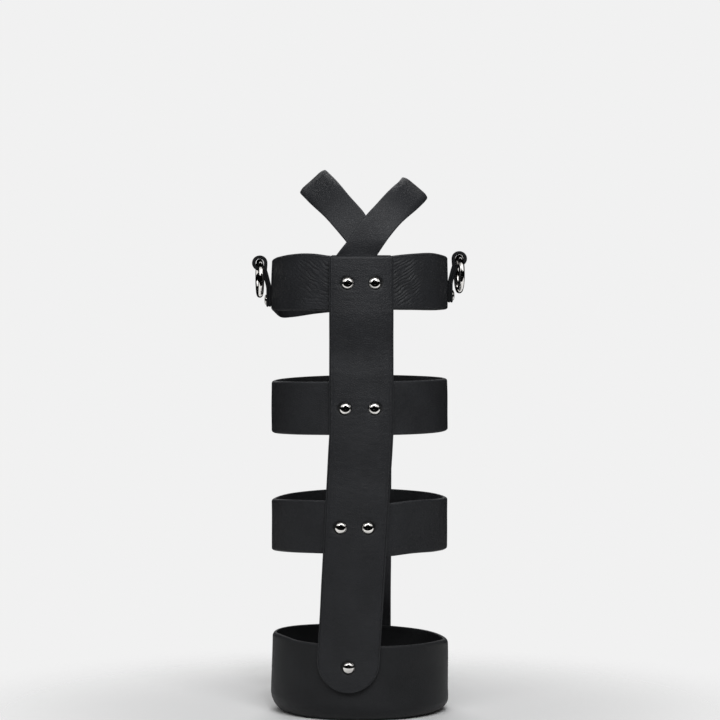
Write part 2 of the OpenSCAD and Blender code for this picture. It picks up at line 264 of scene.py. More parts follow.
def round_section(width, thick, outer, inner, inset, face_cols, back_cols):
    """Rounded rectangle carried along a strip. outer and inner are the roundings (across,
    deep) of the grain side's and the flesh side's corners, quarter ellipses. Gives for each
    station the share across (0 to 1 of the width) and the depth (0 flesh side to thick) of
    every point round the section, and its kind: 0 grain side, 1 rim, 2 flesh side."""
    width, thick, inset = (np.asarray(a, float)[:, None] for a in (width, thick, inset))
    lo, hi, low, high = inset, width - inset, inset, thick - inset
    oa, od, ia, deep = (np.broadcast_to(a, len(width))[:, None] for a in (*outer, *inner))
    # Where the strip is narrow or thin, its roundings shrink to fit
    wide = np.maximum(np.minimum(1, 0.46 * (hi - lo) / np.maximum(oa, ia)), 0.01)
    fit = np.maximum(np.minimum(1, 0.94 * (high - low) / (od + deep)), 0.01)
    oa, ia, od, deep = oa * wide, ia * wide, od * fit, deep * fit
    quarter = np.linspace(0, math.pi / 2, 7)[None, 1:]
    # One more column close beside each rim keeps the shading flat up to it
    share, close = np.linspace(0, 1, face_cols), 0.012
    share = np.concatenate([[0], share[:1] + close, share[1:-1], share[-1:] - close, [1]])[None, :]
    back = np.linspace(1, 0, back_cols)[None, 1:]

    def corner(ca, cd, ra, rd, start):
        return ca + ra * np.cos(start - quarter), cd + rd * np.sin(start - quarter)

    parts = [
        (0, lo + oa + (hi - lo - 2 * oa) * share, high + 0 * share),
        (1, *corner(hi - oa, high - od, oa, od, math.pi / 2)),
        (1, hi + 0 * oa, low + deep),
        (1, *corner(hi - ia, low + deep, ia, deep, 0.0)),
        (2, lo + ia + (hi - lo - 2 * ia) * back, low + 0 * back),
        (1, *corner(lo + ia, low + deep, ia, deep, -math.pi / 2)),
        (1, lo + 0 * oa, high - od),
        (1, *corner(lo + oa, high - od, oa, od, -math.pi)),
    ]
    a, d = (np.concatenate([part[i] for part in parts], axis=1)[:, :-1] for i in (1, 2))
    kind = np.concatenate([[part[0]] * part[1].shape[1] for part in parts])[:-1]
    return a / width, d, kind


def along_columns(grid, share):
    """Reads a grid at shares across it (0 to 1), straight between its columns."""
    last = grid.shape[1] - 1
    at = np.clip(share, -0.2, 1.2) * last
    left = np.clip(np.floor(at).astype(int), 0, last - 1)
    rest = (at - left)[..., None]
    rows = np.arange(grid.shape[0])[:, None]
    return grid[rows, left] * (1 - rest) + grid[rows, left + 1] * rest


def link_object(name, data):
    """A new object in the scene."""
    obj = bpy.data.objects.new(name, data)
    bpy.context.scene.collection.objects.link(obj)
    return obj


def new_mesh(name, points, faces):
    """A dressed piece at the origin from points in millimetres, its faces smooth and turned
    outwards."""
    mesh = bpy.data.meshes.new(name)
    mesh.from_pydata((np.asarray(points) * MM).tolist(), [], faces)
    shell = bmesh.new()
    shell.from_mesh(mesh)
    bmesh.ops.recalc_face_normals(shell, faces=shell.faces)
    shell.to_mesh(mesh)
    shell.free()
    mesh.polygons.foreach_set("use_smooth", [True] * len(mesh.polygons))
    return link_object("dressed_" + name, mesh)


def quads(rows, cols, first=0, loop=False):
    """Face corners of a grid of rows by cols points, closed across, and along when loop."""
    i = np.arange(rows if loop else rows - 1)[:, None]
    j = np.arange(cols)[None, :]
    up, over = (i + 1) % rows, (j + 1) % cols
    corners = np.stack([i * cols + j, i * cols + over, up * cols + over, up * cols + j], -1)
    return (corners.reshape(-1, 4) + first).tolist()


def capped_quads(rows, cols, first=0):
    """Such a grid's faces with fans at both ends, on two points that follow the grid's."""
    faces = quads(rows, cols, first)
    last, low = first + (rows - 1) * cols, first + rows * cols
    for j in range(cols):
        after = (j + 1) % cols
        faces += [[low, first + after, first + j], [low + 1, last + j, last + after]]
    return faces


def set_point_values(obj, **fields):
    """Stores named values on the mesh's points."""
    for key, values in fields.items():
        layer = obj.data.attributes.new(key, "FLOAT", "POINT")
        layer.data.foreach_set("value", np.asarray(values, np.float32).ravel())


def set_strip_uv(obj, along, across):
    """Lays a strip's UV map in metres: along its length and across its width."""
    corner = np.zeros(len(obj.data.loops), np.int32)
    obj.data.loops.foreach_get("vertex_index", corner)
    uv = np.stack([along.ravel()[corner], across.ravel()[corner]], -1) * MM
    layer = obj.data.uv_layers.new(name="UVMap")
    layer.data.foreach_set("uv", uv.astype(np.float32).ravel())


def leather_strip(name, flesh, away, edge, face_cols, back_cols, thick=LEATHER, relief=None,
                  crease=0.3, press=None):
    """A strip of leather on a grid of flesh-side points (stations by columns). The rounded
    section is carried along the grid, its depth laid off along the surface's normal, on the
    side that away(points) names. edge is the rounding of the grain side's rims (across,
    deep). relief(along, across, base) lifts the grain side; crease, of the same three, says
    how creased it is, also as one number; the last argument, of the same three, gives the
    painted contact shadow round the rivet caps, partly the darker tone of pressed leather.
    The rims are marked so that the material paints them lighter: partly their burnished
    tone, partly a painted highlight."""
    n = len(flesh)
    step = np.linalg.norm(np.diff(flesh.mean(axis=1), axis=0), axis=1)
    along = np.concatenate([[0], np.cumsum(step)])
    width = np.linalg.norm(np.diff(flesh, axis=1), axis=2).sum(axis=1)
    out = outwards(flesh, away(flesh))
    near = np.clip(np.minimum(along, along[-1] - along) / END_ROUND, 0, 1)
    inset = END_ROUND * (1 - np.sqrt(near * (2 - near)))
    thick = np.broadcast_to(thick, n)
    inner = (FLESH_ROUND, np.minimum(FLESH_ROUND, 0.2 * thick))
    share, depth, kind = round_section(width, thick, edge, inner, inset, face_cols, back_cols)
    base, normal = along_columns(flesh, share), unit(along_columns(out, share))
    across = (share - 0.5) * width[:, None]
    run = np.broadcast_to(along[:, None], across.shape)
    grain = np.clip(depth / thick[:, None], 0, 1) ** 2
    if relief:
        depth = depth + relief(run, across, base) * grain
    points = base + normal * depth[..., None]
    m = share.shape[1]
    faces = quads(n, m) + [list(range(m)), list(range((n - 1) * m, n * m))]
    obj = new_mesh(name, points.reshape(-1, 3), faces)
    worn = crease(run, across, base) if callable(crease) else crease
    # Rim points are stored so that the material paints them lighter: partly the burnished rims'
    # tone, partly a painted highlight
    rim, back = (np.broadcast_to(kind == k, across.shape) for k in (1, 2))
    # Painted contact shadow round the rivet caps, partly the darker tone of pressed leather,
    # stored for the material
    pressed = {"press": press(run, across, base) * grain} if press else {}
    set_point_values(obj, rim=rim, flesh=back, crease=worn * grain, **pressed)
    set_strip_uv(obj, run, across)
    return obj


def turned_piece(name, profile, centres, directions, steps=64):
    """Solids of revolution: a profile of (radius, height) turned about each direction
    through each centre, closed at both ends on the axis."""
    turn, body = full_turn(steps)[:, None], profile[1:-1]
    points, faces = [], []
    for centre, axis in zip(centres, directions):
        axis = unit(np.asarray(axis, float))
        side = unit(np.cross(axis, [0.0, 0.0, 1.0]))
        ring = np.cos(turn) * side + np.sin(turn) * np.cross(axis, side)
        grid = centre + body[:, :1, None] * ring + body[:, 1:, None] * axis
        faces += capped_quads(len(body), steps, sum(len(part) for part in points))
        points += [grid.reshape(-1, 3), centre + profile[[0, -1], 1][:, None] * axis]
    return new_mesh(name, np.concatenate(points), faces)


# Places on the carrier


def side_angle(points):
    """Angle round the bay from the front, positive to the right, in degrees."""
    return np.degrees(np.arctan2(points[..., 0], -points[..., 1]))


def zone(angle, middle, half):
    """1 in the middle of a stretch of degrees, falling with the fourth power beyond."""
    return np.exp(-(((angle - middle) / half) ** 4))


def radial(points):
    """Directions straight away from the bay's axis."""
    return np.concatenate([points[..., :2], np.zeros(points[..., :1].shape)], axis=-1)


def panel_middle(z, lean):
    """Sideways place of a panel's middle line: straight above, leaning below one height."""
    return PANEL_X - np.maximum(0.0, LEAN_Z - z) * math.tan(lean)


def panel_half(z, lean):
    """Half a panel's width: narrower towards the foot below the height where it leans."""
    share = np.clip((LEAN_Z - z) / (LEAN_Z - PANEL_END_Z - FOOT_HALF), 0, 1)
    return PANEL_HALF - (PANEL_HALF - FOOT_HALF) * share


def rivet_places(lean):
    """Rivet seats of one panel as (x, z, radius of the surface under the cap), by the name
    of their group."""
    places = {}
    for name, low in BANDS.items():
        z = low + BAND_W / 2
        seat = (PANEL_TOP_R if name == "upper_band" else PANEL_LOW_R) + LEATHER
        spread, shift = PAIR_PLACES[name] if lean else (0.0, 0.0)
        middle = float(panel_middle(z, lean)) + shift
        pair = [(middle + s * (RIVET_STEP + spread / 2), z, seat) for s in (-1, 1)]
        places[name.replace("band", "rivets")] = pair
    middle = float(panel_middle(CUP_RIVET_Z, lean))
    places["cup_rivet"] = [(middle, CUP_RIVET_Z, CUP_SEAT_R + LEATHER)]
    return places


def dimples(x, z, lean, reach, start=CAP[0]):
    """How pressed the leather is round each rivet, 1 under the cap: a bell-shaped fall
    beyond the cap's edge."""
    total = np.zeros(np.broadcast(x, z).shape)
    for group in rivet_places(lean).values():
        for px, pz, _ in group:
            far = np.maximum(np.hypot(x - px, z - pz) - start, 0)
            total += np.exp(-((far / reach) ** 2))
    return total


# Materials


def add_node(tree, name, kind, **settings):
    """A named shader node with its settings, and its inputs' values as in_name=value. Each
    node stands to the right of the one before, on one of three levels."""
    count = len(tree.nodes)
    node = tree.nodes.new(kind if kind.startswith("NodeGroup") else "ShaderNode" + kind)
    node.name, node.location = name, (200 * count, -300 * (1 + count % 3))
    for key, value in settings.items():
        if key.startswith("in_"):
            key = key[3:]
            node.inputs[int(key) if key.isdigit() else key.replace("_", " ")].default_value = value
        else:
            setattr(node, key, value)


def wire(tree, *links):
    """Links sockets: each link reads node.socket > node.socket, a socket by name or number."""
    for link in links:
        (start, out), (end, into) = (side.split(".") for side in link.split(" > "))
        tree.links.new(
            tree.nodes[start].outputs[int(out) if out.isdigit() else out],
            tree.nodes[end].inputs[int(into) if into.isdigit() else into],
        )


def new_group(name, vector, scales, outputs):
    """A node group with a vector input, number inputs with their defaults, number outputs,
    and its nodes start and end."""
    group = bpy.data.node_groups.new(name, "ShaderNodeTree")
    new_socket = group.interface.new_socket
    new_socket(name=vector, in_out="INPUT", socket_type="NodeSocketVector")
    for key, value in scales.items():
        made = new_socket(name=key, in_out="INPUT", socket_type="NodeSocketFloat")
        made.default_value = value
    for key in outputs:
        new_socket(name=key, in_out="OUTPUT", socket_type="NodeSocketFloat")
    add_node(group, "start", "NodeGroupInput")
    add_node(group, "end", "NodeGroupOutput")
    group.nodes["end"].location.x = 3000
    return group


def new_material(name, **values):
    """The tree of a new node material, its main shader's inputs set as Its_Name=value."""
    made = bpy.data.materials.new(name)
    made.use_nodes = True
    tree = made.node_tree
    for key, value in values.items():
        tree.nodes["Principled BSDF"].inputs[key.replace("_", " ")].default_value = value
    return tree


def grain_group():
    """Leather grain: pebbled cells with pores between them and slow uneven swells."""
    group = new_group("Leather Grain", "Vector", {"Cell Scale": 1150.0}, ("Height", "Mottle"))
    add_node(group, "warp", "TexNoise", in_Scale=420.0, in_Detail=2.0)
    add_node(group, "mixed", "Mix", data_type="VECTOR", in_0=0.0012)
    add_node(group, "cells", "TexVoronoi", feature="DISTANCE_TO_EDGE")
    add_node(group, "walls", "MapRange", interpolation_type="SMOOTHSTEP", in_From_Max=0.16)
    add_node(group, "fine", "TexNoise", in_Scale=2600.0, in_Detail=3.0)
    add_node(group, "swell", "TexNoise", in_Scale=70.0, in_Detail=4.0)
    add_node(group, "total", "Math", operation="MULTIPLY_ADD", in_1=0.35)
    wire(
        group, "start.Vector > warp.Vector", "start.Vector > mixed.4", "warp.Color > mixed.5",
        "mixed.1 > cells.Vector", "start.Cell Scale > cells.Scale",
        "cells.Distance > walls.Value", "start.Vector > fine.Vector",
        "start.Vector > swell.Vector", "fine.Fac > total.0", "walls.Result > total.2",
        "total.0 > end.Height", "swell.Fac > end.Mottle",
    )
    return group


def crease_group():
    """Flex creases: short wavy furrows that lie across a strip's length."""
    scales = {"Along Scale": 620.0, "Across Scale": 130.0}
    group = new_group("Flex Creases", "UV", scales, ("Height",))
    add_node(group, "scale", "CombineXYZ")
    add_node(group, "stretch", "VectorMath", operation="MULTIPLY")
    add_node(
        group, "furrow", "TexNoise", noise_type="RIDGED_MULTIFRACTAL", in_Scale=1.0,
        in_Detail=3.0, in_Distortion=0.8,
    )
    wire(
        group, "start.Along Scale > scale.X", "start.Across Scale > scale.Y",
        "start.UV > stretch.0", "scale.0 > stretch.1", "stretch.0 > furrow.Vector",
        "furrow.Fac > end.Height",
    )
    return group


def leather_material(name, colour, rough, grain, creases, cell=1150.0, depth=0.5, gloss=0.25):
    """Dyed leather: grain side, rougher flesh side and cut rims, told apart by the values
    stored on the strips' points. The rims are painted lighter, partly their burnished tone
    and partly a painted highlight, and a narrow ring round each rivet cap is painted dark,
    a painted contact shadow, partly the darker tone of pressed leather. cell is the size and
    depth the height of its grain."""
    tree = new_material(name, Specular_IOR_Level=gloss)

    def shade(share, lift=0.0):
        return (*(share * c + lift for c in colour), 1)

    add_node(tree, "place", "TexCoord")
    for key in ("rim", "flesh", "crease", "press"):
        add_node(tree, key, "Attribute", attribute_name=key)
    add_node(tree, "grained", "Group", node_tree=grain, in_Cell_Scale=cell)
    add_node(tree, "creased", "Group", node_tree=creases)
    add_node(
        tree, "tint", "MapRange", in_From_Min=0.3, in_From_Max=0.7, in_To_Min=0.84,
        in_To_Max=1.16,
    )
    add_node(
        tree, "dyed", "Mix", data_type="RGBA", blend_type="MULTIPLY", in_0=1.0, in_6=shade(1)
    )
    tone = "dyed"
    # Tones: flesh side a little lighter; cut rims lighter, partly a painted highlight; round the
    # rivet caps down to 15 %, a painted contact shadow, partly pressed leather's darker tone
    for key, share, lift in (("flesh", 0.8, 0.004), ("rim", 1.25, 0.002), ("press", 0.15, 0.0)):
        add_node(tree, key + "_tone", "Mix", data_type="RGBA", in_7=shade(share, lift))
        wire(tree, f"{tone}.2 > {key}_tone.6", f"{key}.Fac > {key}_tone.0")
        tone = key + "_tone"
    add_node(tree, "soft", "Math", operation="MULTIPLY_ADD", in_1=0.25, in_2=rough)
    add_node(tree, "relief", "Math", operation="MULTIPLY", in_1=depth)
    add_node(tree, "furrow", "Math", operation="MULTIPLY")
    add_node(tree, "height", "Math", operation="ADD")
    add_node(tree, "bump", "Bump", in_Strength=0.55, in_Distance=0.00022)
    wire(
        tree, "place.Object > grained.Vector", "place.UV > creased.UV",
        "grained.Mottle > tint.Value", "tint.0 > dyed.7", tone + ".2 > Principled BSDF.Base Color",
        "flesh.Fac > soft.0", "soft.0 > Principled BSDF.Roughness", "grained.Height > relief.0",
        "creased.Height > furrow.0", "crease.Fac > furrow.1", "relief.0 > height.0",
        "furrow.0 > height.1", "height.0 > bump.Height",
        "bump.Normal > Principled BSDF.Normal",
    )


def metal_material(name, colour, rough):
    """Plated metal with faint handling marks in its roughness and a shallow unevenness."""
    tree = new_material(name, Base_Color=(*colour, 1), Metallic=1.0)
    add_node(tree, "place", "TexCoord")
    add_node(tree, "marks", "TexNoise", in_Scale=900.0, in_Detail=4.0)
    add_node(
        tree, "wear", "MapRange", in_From_Min=0.35, in_From_Max=0.75, in_To_Min=rough,
        in_To_Max=rough + 0.08,
    )
    add_node(tree, "bump", "Bump", in_Strength=0.012, in_Distance=0.0002)
    wire(
        tree, "place.Object > marks.Vector", "marks.Fac > wear.Value",
        "wear.0 > Principled BSDF.Roughness", "marks.Fac > bump.Height",
        "bump.Normal > Principled BSDF.Normal",
    )


def finish(obj, material_name, slot, *nodes, body="carrier"):
    """Gives a piece its material and its body and hides the nodes it stands for; slot is not used.
    """
    obj.data.materials.append(bpy.data.materials[material_name])
    if body:
        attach(obj, body)
    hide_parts(*nodes)


# Settings


def length(name, description, default, low, high):
    """A size in millimetres that a user may change."""
    return FloatProperty(
        name=name, description=description + " in millimetres", default=default, min=low,
        max=high, unit="NONE",
    )


def colour(name, description, default):
    """A colour that a user may change."""
    return FloatVectorProperty(
        name=name, description=description, default=default, min=0, max=1, subtype="COLOR"
    )


class CarrierSizes(bpy.types.PropertyGroup):
    """Sizes of the dressed pieces."""

    wrinkle_depth: length("Wrinkle Depth", "Depth of the upper band's wrinkles", 0.21, 0, 1)
    band_sag: FloatProperty(
        name="Band Sag", description="How strongly the bands' edges leave the level, 1 as worn",
        default=1.0, min=0, max=1.2, subtype="FACTOR",
    )
    strap_curl: length("Strap Curl", "How far the straps' edges curl in at the top", 0.8, 0, 2)
    rivet_dip: length("Rivet Dip", "Depth of the pressed leather round a rivet", 0.45, 0, 0.6)
    rim_round: length("Rim Rounding", "Rounding of the leather's cut rims", 0.65, 0.2, 1)
    ring_steps: IntProperty(
        name="Ring Steps", description="Number of steps round a ring", default=144, min=48, max=256
    )


class CarrierColours(bpy.types.PropertyGroup):
    """Colours of the dressed pieces."""

    leather: colour("Leather", "Colour of the strips' grain side", (0.0170, 0.0178, 0.0200))
    cup: colour("Cup", "Colour of the moulded cup", (0.0120, 0.0126, 0.0140))
    metal: colour("Metal", "Colour of rings and rivets", (0.86, 0.84, 0.81))


# Pieces


class CARRIER_OT_materials(bpy.types.Operator):
    """Make the leather and metal materials"""

    bl_idname = "carrier.materials"
    bl_label = "Materials"

    def execute(self, context):
        colours = context.scene.carrier_colours
        grain, creases = grain_group(), crease_group()
        leather_material("Strip Leather", tuple(colours.leather), 0.5, grain, creases)
        leather_material(
            "Moulded Leather", tuple(colours.cup), 0.55, grain, creases, cell=1500.0, depth=0.35
        )
        # The keepers take the strip leather darkened to 35 %: painted shade for the shadow in and
        # under their folds
        dark = tuple(0.35 * c for c in colours.leather)
        leather_material("Keeper Leather", dark, 0.45, grain, creases, gloss=0.06)
        metal_material("Bright Nickel", tuple(colours.metal), 0.025)
        metal_material("Washer Nickel", tuple(0.8 * c for c in colours.metal), 0.28)
        return {"FINISHED"}


def band_grid(low, seam_x, edges, sag, count, busy, cols=9):
    """Flesh side of a band: a circle from one side of its seam to the other, its lower and
    upper edges off level by the offsets given round the bay."""
    start = math.asin(seam_x / BAY_R)
    half_gap = 0.4 / BAY_R
    turn = stations(start + half_gap, start + TURN - half_gap, count, busy)[:, None]
    bottom = low + sag * through(turn, *edges[0])
    top = low + BAND_W + sag * through(turn, *edges[1])
    z = bottom + (top - bottom) * np.linspace(0, 1, cols)[None, :]
    return np.stack(np.broadcast_arrays(BAY_R * np.sin(turn), -BAY_R * np.cos(turn), z), -1)


class CARRIER_OT_bands(bpy.types.Operator):
    """Make the three leather bands"""

    bl_idname = "carrier.bands"
    bl_label = "Bands"

    def execute(self, context):
        sizes = context.scene.carrier_sizes

        def zones(angle):
            """Where the upper band is wrinkled: left and right of the panel."""
            return zone(angle, *LEFT_WRINKLES), zone(angle, *RIGHT_WRINKLES)

        def wrinkles(along, across, base):
            """Upper band: on the right furrows that rise, on the left furrows that fall and
            low down lie level, none near the edges, and slow swells."""
            left, right = zones(side_angle(base))
            rising, falling, level = (furrows(along, across, *f) for f in (RISING, FALLING, LEVEL))
            low = 0.7 * ease((-across - 1.0) / 5.0)
            short = 1 - ease((np.abs(across) - 8.5) / 2.5)
            both = right * rising + 0.65 * left * (falling * (1 - low) + level * low)
            return sizes.wrinkle_depth * short * both + 0.12 * waves(along, across, 26.0, 3)

        def upper_crease(along, across, base):
            return 0.3 + 0.6 * sum(zones(side_angle(base)))

        def ripples(seed):
            """Other bands: faint ripples on the right and slow swells."""

            def relief(along, across, base):
                fine = zone(side_angle(base), *RIPPLES) * furrows(along, across, 27, 2.1, seed)
                return 0.02 * fine + 0.1 * waves(along, across, 24.0, seed + 1)

            return relief

        def busy(turn):
            return np.clip(sum(zones(np.degrees((turn + math.pi) % TURN - math.pi))), 0, 1)

        for name, low in BANDS.items():
            seam = float(panel_middle(low + BAND_W / 2, LEAN))
            upper = name == "upper_band"
            count = 450 if upper else 360
            grid = band_grid(low, seam, BAND_EDGES[name], sizes.band_sag, count, busy)
            beside = np.abs(np.sin(np.radians(side_angle(grid[:, 0])))) ** 6
            band = leather_strip(
                name, grid, radial, edge=(sizes.rim_round + 0.5 * beside, 0.8 + 1.1 * beside),
                face_cols=112 if upper else 44, back_cols=6,
                relief=wrinkles if upper else ripples(21 if name == "lower_band" else 31),
                crease=upper_crease if upper else 0.3,
            )
            finish(band, "Strip Leather", "leather", name)
        return {"FINISHED"}


class CARRIER_OT_cup(bpy.types.Operator):
    """Make the moulded base cup"""

    bl_idname = "carrier.cup"
    bl_label = "Base Cup"

    def execute(self, context):
        steps, right = 256, math.pi / 2
        turn = full_turn(steps)
        side = np.sin(turn)
        beside = np.abs(side) ** 6
        rim_z = CUP_H - CUP_SLANT * BAND_OUT_R * side + through(turn, *CUP_RIM)
        heel_z, heel_r = CUP_HEEL - 1.7 * side, 7.2
        deep, high, lip = 0.8 + 0.7 * beside, 0.8 + 1.3 * beside, 0.4
        rows = []

        def wall(z):
            """Outer radius: straight from heel to rim, a little fuller high on the right."""
            taper = BAY_R + 2.5 - 0.5 * (z - CUP_HEEL) / (CUP_H - CUP_HEEL)
            return taper + 0.35 * np.clip(side, 0, 1) ** 4 * ease((z - 8) / 20)

        def row(r, z, rim=0.0, flesh=0.0):
            """One ring of the turned section: its radii, its heights and what it belongs to."""
            rows.append((r + 0 * turn, z + 0 * turn, rim, flesh))

        # Bottom, heel and wall outside
        foot = wall(heel_z)
        for share in np.linspace(0.12, 0.95, 8):
            row((foot - heel_r) * share, 0.0)
        for a in np.linspace(0, right, 20):
            row(foot - heel_r * (1 - math.sin(a)), heel_z * (1 - math.cos(a)))
        for share in np.linspace(0.05, 1, 30):
            z = heel_z + (rim_z - high - heel_z) * share
            row(wall(z) - 0.1 * math.sin(math.pi * share), z)
        # Rim, outer and inner rounding
        top_r = wall(rim_z - high)
        # The rim rows are marked rim, which the material paints lighter: partly the burnished
        # tone, partly a painted highlight
        for a in np.linspace(0, right, 8)[1:]:
            row(top_r - deep * (1 - math.cos(a)), rim_z - high * (1 - math.sin(a)), 1.0)
        for a in np.linspace(right, math.pi, 6):
            row(BAY_R + lip * (1 + math.cos(a)), rim_z - lip * (1 - math.sin(a)), 1.0)
        # Wall, heel and floor inside
        for share in np.linspace(0.06, 1, 14):
            row(BAY_R, rim_z - lip + (CUP_HEEL - rim_z + lip) * share, 0.0, 1.0)
        for a in np.linspace(0, right, 9)[1:]:
            r = BAY_R - CUP_INNER_HEEL * (1 - math.cos(a))
            row(r, CUP_HEEL - CUP_INNER_HEEL * math.sin(a), 0.0, 1.0)
        for r in np.linspace(30, 4, 6):
            row(r, CUP_FLOOR, 0.0, 1.0)
        r, z, rim, flesh = (np.array([one[i] for one in rows]) for i in range(4))
        # Slow swells of the moulded wall, none near the bottom, inside or at the seam
        grain = (1 - flesh)[:, None] * np.clip(z / 9, 0, 1)
        seamed = ease((np.abs(turn - math.pi) - math.pi + 0.35) / 0.35)
        r = r + 0.11 * grain * (1 - seamed) * waves(turn * BAND_OUT_R, z, 30.0, 41)
        points = np.stack([r * np.sin(turn), -r * np.cos(turn), z], -1).reshape(-1, 3)
        ends = [(0, 0, 0), (0, 0, CUP_FLOOR)]
        cup = new_mesh(
            "base_cup", np.concatenate([points, ends]), capped_quads(len(rows), steps)
        )
        set_point_values(
            cup, rim=np.append(np.repeat(rim, steps), [0, 0]),
            flesh=np.append(np.repeat(flesh, steps), [0, 1]), crease=np.full(len(points) + 2, 0.1),
        )
        around = np.append(np.broadcast_to(turn * BAY_R, z.shape), [0, 0])
        set_strip_uv(cup, around, np.append(z, [0, 0]))
        finish(cup, "Moulded Leather", "cup_leather", "base_cup")
        return {"FINISHED"}


def panel_grid(lean, side, count=385, cols=13):
    """Flesh side of a panel: in the front view a strip with a round lower end whose middle
    line leans below one height; its depth follows the step in from the strap ends to the
    bands, the slight hollow between the bands and the cup's wall. side is -1 in front."""
    end_z = PANEL_END_Z + FOOT_HALF
    curve = np.linspace(0.02, math.pi / 2, 70)
    rivets = [low + BAND_W / 2 for low in BANDS.values()]
    z_straight = stations(
        end_z, TOP_Z, count, lambda z: sum(np.exp(-(((z - at) / 3.8) ** 8)) for at in rivets)
    )[1:]
    z = np.concatenate([end_z - FOOT_HALF * np.cos(curve), z_straight])[:, None]
    half = np.concatenate([FOOT_HALF * np.sin(curve), panel_half(z_straight, lean)])[:, None]
    share = np.linspace(-1, 1, cols)[None, :]
    x = panel_middle(z, lean) + half * share
    z = z - half * share * ease((LEAN_Z - z) / 8) * math.tan(lean)
    step_z, step_h, flare_z, flare, hollow = 167.0, 19.0, 13.6, 0.29, 0.35
    r = PANEL_LOW_R + (PANEL_TOP_R - PANEL_LOW_R) * ease((z - step_z) / step_h)
    r = r + np.clip(CUP_H - z, 0, None) / (CUP_H - flare_z) * flare
    for low, high in ((CUP_H + 1.6, 75.0), (101.0, 129.0), (154.6, 172.0)):
        inside = np.clip((z - low) / (high - low), 0, 1)
        r = r - hollow * np.sin(math.pi * inside) ** 2
    return np.stack([x, side * np.sqrt(r * r - x * x), z], -1)


class CARRIER_OT_panels(bpy.types.Operator):
    """Make the front and back panels"""

    bl_idname = "carrier.panels"
    bl_label = "Panels"

    def execute(self, context):
        sizes = context.scene.carrier_sizes
        for name, lean, side, seed in (("front_panel", LEAN, -1, 51), ("back_panel", 0.0, 1, 61)):

            def relief(along, across, base, lean=lean, seed=seed):
                """Steep and wide dips round the rivets, swells, fine ripples, and a groove
                beside each rim."""
                x, z = base[..., 0], base[..., 2]
                pressed = 0.75 * dimples(x, z, lean, 0.42) + 0.25 * dimples(x, z, lean, 1.6)
                swell = 0.1 * waves(along, across, 30.0, seed)
                swell = swell + 0.012 * waves(along, across / 3, 2.6, seed + 1)
                line = panel_half(z, lean) - 1.3
                groove = -0.1 * np.exp(-(((line - np.abs(across)) / 0.35) ** 2))
                return swell + groove * ease((z - 30) / 15) - sizes.rivet_dip * pressed

            # Painted contact shadow: a narrow ring just beyond each rivet cap, partly the darker
            # tone of pressed leather
            def press(along, across, base, lean=lean):
                return dimples(base[..., 0], base[..., 2], lean, 0.4, CAP[0] + 0.05)

            panel = leather_strip(
                name, panel_grid(lean, side), radial, edge=(sizes.rim_round, 0.8), face_cols=110,
                back_cols=8, relief=relief, crease=0.6, press=press,
            )
            finish(panel, "Strip Leather", "leather", name)
        return {"FINISHED"}


def strap_grid(kind, cols=25):
    """Middle surface of a shoulder strap: hidden end, rise past the panel's top, arch to
    the middle, and the same mirrored at the back. In the front view each row joins the two
    edge lines; its depth comes from the bands' circle below and from the arch's squared
    circle above, eased from one to the other. The left strap's inner edge keeps behind the
    right strap until it settles. Gives the grid and how near each row is to the apex."""
    strap = STRAPS[kind]
    side, top, power = (strap[key] for key in ("side", "apex", "power"))
    a = math.radians(strap["slope"])
    up = np.array([side * math.cos(a), math.sin(a)])
    over = np.array([-side * math.sin(a), math.cos(a)])
    centre = np.array(strap["centre"])
    settle, fade_z, fade_h, turn_z = 15.0, 208.5, 9.0, 199.0

    def edge_line(s, sign):
        half = strap["half"][0] + (strap["half"][1] - strap["half"][0]) * ease(s / top)
        return centre + np.outer(s, up) + (sign * half + strap["bow"](s))[:, None] * over

    s_arch = settle + (top - settle) * np.sin(np.linspace(0, math.pi / 2, 90)[1:])
    s_arch[-1] = top
    lines = []
    for sign in (1, -1):
        if side < 0 and sign > 0:
            end = edge_line(np.array([settle]), sign)[0]
            start = bridge(BEHIND_CROSSING, (-2.2, 21.9), end, 22 * up, 60)
        else:
            probe = np.linspace(-12, 12, 400)
            first = float(np.interp(STRAP_LIFT_Z, edge_line(probe, sign)[:, 1], probe))
            start = edge_line(first + (settle - first) * np.linspace(0, 1, 60), sign)
        lines.append(np.concatenate([start, edge_line(s_arch, sign)]))
    low = np.linspace(STRAP_LOW_Z, STRAP_LIFT_Z, 44)
    mix = ease((low - turn_z) / (STRAP_LIFT_Z - turn_z))
    left, right = (
        np.concatenate([np.stack([x0 + (line[0, 0] - x0) * mix, low], -1), line[1:]])
        for x0, line in zip(strap["root"], lines[::side])
    )
    share = np.linspace(0, 1, cols)[None, :, None]
    flat = left[:, None] * (1 - share) + right[:, None] * share
    x, z = flat[..., 0], flat[..., 1]
    s = np.clip((x - centre[0]) * up[0] + (z - centre[1]) * up[1], 0, top)
    arch = strap["mid"] * np.clip(1 - (s / top) ** power, 0, None) ** (1 / power)
    mix = ease((z - fade_z) / fade_h)
    front = np.stack([x, -(np.sqrt(ENDS_MID_R**2 - x * x) * (1 - mix) + arch * mix), z], -1)
    near = ease((s.mean(axis=1) - 20) / 14)
    back = front[:-1][::-1] * np.array([1, -1, 1])
    return np.concatenate([front, back]), np.concatenate([near, near[:-1][::-1]])


